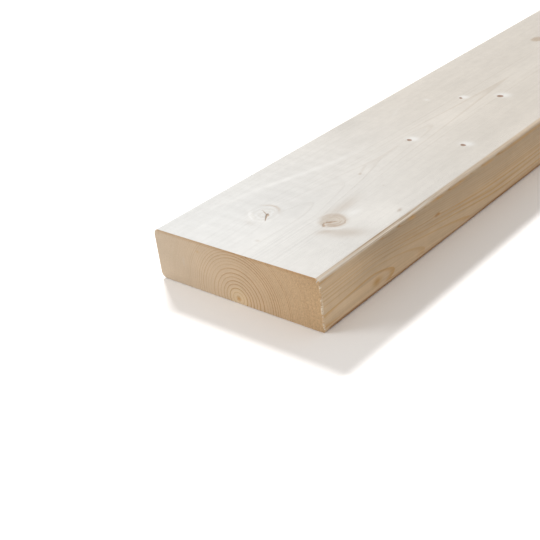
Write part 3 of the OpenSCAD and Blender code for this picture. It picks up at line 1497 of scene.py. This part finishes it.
    def square_foot(self, points: Array) -> Array:
        """Makes the lower front edge squarer than its round.

        Args:
            points: Places, one per row.

        Returns:
            The moved places.
        """
        power = self.foot_power
        centre = np.array([-self.width / 2 + self.edge_radius, self.edge_radius])
        out = points[:, 1:] - centre
        low = (out[:, 0] < 0) & (out[:, 1] < 0)
        reach = np.maximum(np.linalg.norm(out, axis=1), TINY)
        share = np.abs(out) / reach[:, None]
        square = (share ** power).sum(axis=1) ** (-1 / power)
        grow = np.where(low, square, 1.0)
        moved = points.copy()
        moved[:, 1:] = centre + out * grow[:, None]
        return moved

    def girth(self, points: Array) -> Array:
        """Measures how far round the section places lie, from the middle of the underside.

        Args:
            points: Places, one per row.

        Returns:
            The distance round by the front edge.
        """
        loop = np.roll(self.outline(), 1, axis=0)
        loop = np.concatenate([loop, loop[:1]])
        run = np.concatenate([[0.0], np.cumsum(np.linalg.norm(np.diff(loop, axis=0), axis=1))])
        best = np.full(len(points), np.inf)
        result = np.zeros(len(points))
        for start, end, before, after in zip(loop[:-1], loop[1:], run[:-1], run[1:]):
            way = (end - start) / (after - before)
            step = np.clip((points[:, 1:] - start) @ way, 0.0, after - before)
            gap = np.linalg.norm(points[:, 1:] - start - step[:, None] * way, axis=1)
            nearer = gap < best - TINY
            best = np.where(nearer, gap, best)
            result = np.where(nearer, before + step, result)
        return result

    def unwrap(self, data: bpy.types.Mesh, points: Array) -> None:
        """Lays the faces out flat for the baked colours, as a near strip, a far strip and the two ends.

        Args:
            data: The mesh.
            points: Places of its vertices before the relief.
        """
        margin = 4 / MAP_SIDE
        near_width, far_width = 0.54, 0.32
        end_scale = 2.6 / MAP_SIDE
        corners = np.zeros(len(data.loops), dtype=np.int32)
        data.loops.foreach_get("vertex_index", corners)
        sizes = np.zeros(len(data.polygons), dtype=np.int32)
        data.polygons.foreach_get("loop_total", sizes)
        sawn = np.zeros(len(data.polygons), dtype=np.int32)
        data.polygons.foreach_get("material_index", sawn)
        owner = np.repeat(np.arange(len(sizes)), sizes)
        middle = np.zeros((len(sizes), 3))
        np.add.at(middle, owner, points[corners])
        middle = (middle / sizes[:, None])[owner]
        place = points[corners]
        whole = 2 * (self.width + self.thickness) - (8 - 2 * np.pi) * self.edge_radius
        round_by = self.girth(points)[corners]
        round_by = np.where((middle[:, 1] > 0) & (round_by < 1e-3), whole, round_by)
        far = middle[:, 0] > self.fine_length
        start = np.where(far, self.fine_length, 0.0)
        stretch = np.where(far, self.length - self.fine_length, self.fine_length)
        u = margin + (place[:, 0] - start) / stretch * (1 - 2 * margin)
        v = margin + round_by / whole * np.where(far, far_width, near_width)
        v = v + far * (near_width + 2 * margin)
        end_u = margin + (place[:, 1] + self.width / 2) * end_scale
        end_u = end_u + far * (self.width * end_scale + 4 * margin)
        end_height = 1 - near_width - far_width - 7 * margin
        end_v = near_width + far_width + 5 * margin + place[:, 2] / self.thickness * end_height
        on_end = sawn[owner] == 1
        layout = np.stack([np.where(on_end, end_u, u), np.where(on_end, end_v, v)], axis=1)
        data.uv_layers.new(name="OFBake").data.foreach_set("uv", layout.ravel())

    def build(self, finish: SpruceFinish) -> bpy.types.Object:
        """Builds and dresses the plank.

        Args:
            finish: Its colours.

        Returns:
            The plank's object, in the shared frame.
        """
        shell = self.shell()
        data = bpy.data.meshes.new("spruce_plank")
        shell.to_mesh(data)
        shell.free()
        points = np.zeros(len(data.vertices) * 3)
        data.vertices.foreach_get("co", points)
        points = points.reshape(-1, 3)
        fields = self.fields(points)
        for name, values in fields.items():
            if values.ndim == 2:
                data.attributes.new(name, "FLOAT_VECTOR", "POINT").data.foreach_set("vector", values.ravel())
            else:
                data.attributes.new(name, "FLOAT", "POINT").data.foreach_set("value", values)
        self.unwrap(data, points)
        moved = self.relief(points, fields) * MM + np.array([self.low.x, 0.0, self.low.z])
        data.vertices.foreach_set("co", moved.ravel())
        data.materials.append(finish.planed())
        data.materials.append(finish.sawn())
        data.shade_smooth()
        data.set_sharp_from_angle(angle=math.radians(self.crease))
        data.update()
        piece = bpy.data.objects.new("spruce_plank", data)
        bpy.context.scene.collection.objects.link(piece)
        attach(piece, "root")
        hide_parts("plank")
        return piece


@dataclass(frozen=True)
class PhotoCamera:
    """The camera, at the photograph's place. Lengths are in metres.

    Attributes:
        focal: Focal length, in pixels of the square image.
        along: Its place along the plank, from the near end.
        across: Its Y.
        height: Its height over the floor.
        azimuth: Turn of its view from +X towards +Y, in degrees.
        pitch: How far it looks down, in degrees.
        roll: How far its right side dips, in degrees.
        nearest: Nearest distance that it shows.
    """

    focal: float = 991.75
    along: float = -455.5 * MM
    across: float = -480.3 * MM
    height: float = 389.9 * MM
    azimuth: float = 44.12
    pitch: float = 28.85
    roll: float = 7.6
    nearest: float = 0.01

    def build(self, near_end: float) -> bpy.types.Object:
        """Makes the camera and sets it as the scene's.

        Args:
            near_end: X of the plank's near end.

        Returns:
            The camera's object.
        """
        turn, dip, roll = (math.radians(a) for a in (self.azimuth, self.pitch, self.roll))
        ahead = Vector((math.cos(dip) * math.cos(turn), math.cos(dip) * math.sin(turn), -math.sin(dip)))
        level = ahead.cross(Vector((0, 0, 1))).normalized()
        down = ahead.cross(level)
        right = math.cos(roll) * level + math.sin(roll) * down
        up = right.cross(ahead)
        data = bpy.data.cameras.new("photo_camera")
        data.sensor_fit = "HORIZONTAL"
        data.sensor_width = SENSOR_WIDTH
        data.lens = self.focal * SENSOR_WIDTH / IMAGE_SIDE
        data.clip_start = self.nearest
        camera = bpy.data.objects.new("photo_camera", data)
        turned = Matrix((right, up, -ahead)).transposed().to_4x4()
        camera.matrix_world = Matrix.Translation((near_end + self.along, self.across, self.height)) @ turned
        bpy.context.scene.collection.objects.link(camera)
        bpy.context.scene.camera = camera
        return camera


@dataclass(frozen=True)
class Lamp:
    """A flat rectangular lamp that faces the near end of the plank. Lengths are in metres.

    Attributes:
        name: Its name.
        place: Its place from the near end.
        width: Its level side.
        height: Its other side.
        power: Its power, in watts.
        colour: Colour of its light.
    """

    name: str
    place: tuple[float, float, float]
    width: float
    height: float
    power: float
    colour: Colour = (1.0, 1.0, 1.0)

    def build(self, focus: Vector) -> bpy.types.Object:
        """Makes the lamp.

        Args:
            focus: The middle of the near end's foot, which it faces.

        Returns:
            The lamp's object.
        """
        data = bpy.data.lights.new(self.name, "AREA")
        data.shape = "RECTANGLE"
        data.size = self.width
        data.size_y = self.height
        data.energy = self.power
        data.color = self.colour
        back = Vector(self.place).normalized()
        side = Vector((0, 0, 1)).cross(back).normalized()
        turned = Matrix((side, back.cross(side), back)).transposed().to_4x4()
        lamp = bpy.data.objects.new(self.name, data)
        lamp.matrix_world = Matrix.Translation(focus + Vector(self.place)) @ turned
        bpy.context.scene.collection.objects.link(lamp)
        return lamp


@dataclass(frozen=True)
class Studio:
    """A white floor, a key light behind the plank, a soft panel and light all round.

    Attributes:
        floor_half: Half the side of the floor, in metres.
        floor_drop: How far it lies below the plank, in metres, so that the two never share a plane.
        floor_colour: Colour of the floor.
        floor_rough: Its roughness.
        lamps: The lamps.
        sky_colour: Colour of the light all round.
        sky_strength: Its strength.
    """

    floor_half: float = 12.0
    floor_drop: float = 0.15 * MM
    floor_colour: Colour = (0.965, 0.955, 0.95)
    floor_rough: float = 0.9
    lamps: tuple[Lamp, ...] = (
        Lamp("key_light", place=(1.425, 1.83, 1.833), width=0.52, height=0.16, power=84.2),
        Lamp("soft_panel", place=(-1.5, 1.7, 1.4), width=1.0, height=0.6, power=22.0,
             colour=(0.94, 0.98, 1.0)),
    )
    sky_colour: Colour = (1.0, 0.95, 0.90)
    sky_strength: float = 0.64

    def build(self, near_end: float) -> None:
        """Makes the floor, the lamps and the sky.

        Args:
            near_end: X of the plank's near end.
        """
        self.floor()
        for lamp in self.lamps:
            lamp.build(Vector((near_end, 0, 0)))
        world = bpy.data.worlds.new("studio_sky")
        world.use_nodes = True
        sky = world.node_tree.nodes["Background"]
        sky.inputs["Color"].default_value = (*self.sky_colour, 1.0)
        sky.inputs["Strength"].default_value = self.sky_strength
        scene = bpy.context.scene
        scene.world = world
        scene.view_settings.view_transform = "Standard"
        scene.view_settings.look = "None"

    def floor(self) -> bpy.types.Object:
        """Makes the floor.

        Returns:
            The floor's object.
        """
        side = self.floor_half
        corners = [(x * side, y * side, -self.floor_drop) for x, y in ((-1, -1), (1, -1), (1, 1), (-1, 1))]
        data = bpy.data.meshes.new("studio_floor")
        data.from_pydata(corners, [], [(0, 1, 2, 3)])
        data.materials.append(NodeSheet("white_paper").surface(self.floor_colour, self.floor_rough, 0.0))
        floor = bpy.data.objects.new("studio_floor", data)
        bpy.context.scene.collection.objects.link(floor)
        return floor


def main() -> None:
    """Builds the plank and the studio, and reports each piece."""
    logging.basicConfig(level=logging.INFO, format="%(message)s")
    low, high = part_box("plank")
    PhotoCamera().build(low.x)
    Studio().build(low.x)
    LOG.info("studio ready")
    plank = SprucePlank(low, high, Trunk()).build(SpruceFinish())
    triangles = sum(len(face.vertices) - 2 for face in plank.data.polygons)
    LOG.info("%s: %d vertices, %d triangles", plank.name, len(plank.data.vertices), triangles)


if __name__ == "__main__":
    main()
